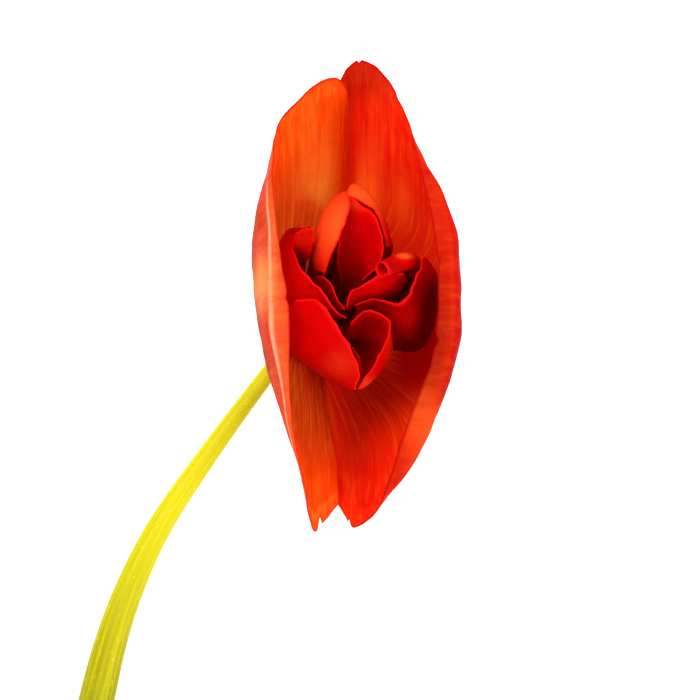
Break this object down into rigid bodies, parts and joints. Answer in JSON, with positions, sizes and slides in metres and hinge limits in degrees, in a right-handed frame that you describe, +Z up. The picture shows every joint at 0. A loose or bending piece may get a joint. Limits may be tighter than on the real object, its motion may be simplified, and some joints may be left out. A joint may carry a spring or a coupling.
{
  "type": "begonia flower",
  "caption": "Cut double begonia flower, just opening, lying face up: two cupped guard petals round a heart of folded red petals, on a smooth curved stem.",
  "frame": {"origin": "middle of the footprint, on the surface that the flower lies on", "axes": "+Z up, out of the face of the bloom; +Y along the bloom's long axis, away from the cut end of the stem; +X across the bloom, away from the stem's side"},
  "size_m": [0.0612, 0.119, 0.0369],
  "materials": {
    "guard_petal": "satin, slightly translucent orange-red petal with fine lengthwise streaks",
    "inner_petal": "satin, deep red petal with a paler margin",
    "heart_petal": "satin, dark red petal in shade",
    "stem": "smooth, fleshy, yellow-green",
    "receptacle": "smooth, fleshy, yellow-green"
  },
  "bodies": {
    "root": {"stem": "stem", "receptacle": "receptacle", "left_guard_petal": "guard_petal", "right_guard_petal": "guard_petal", "upper_back_petal": "inner_petal", "upper_hood_petal": "inner_petal", "upper_left_petal": "inner_petal", "left_tucked_petal": "inner_petal", "left_wall_petal": "inner_petal", "left_inner_petal": "inner_petal", "lower_left_petal": "inner_petal", "lower_right_petal": "inner_petal", "cup_liner_petal": "inner_petal", "right_lobe_petal": "inner_petal", "right_wall_petal": "inner_petal", "right_scroll_petal": "inner_petal", "heart_petal_1": "heart_petal", "heart_petal_2": "heart_petal"}
  },
  "joints": []
}
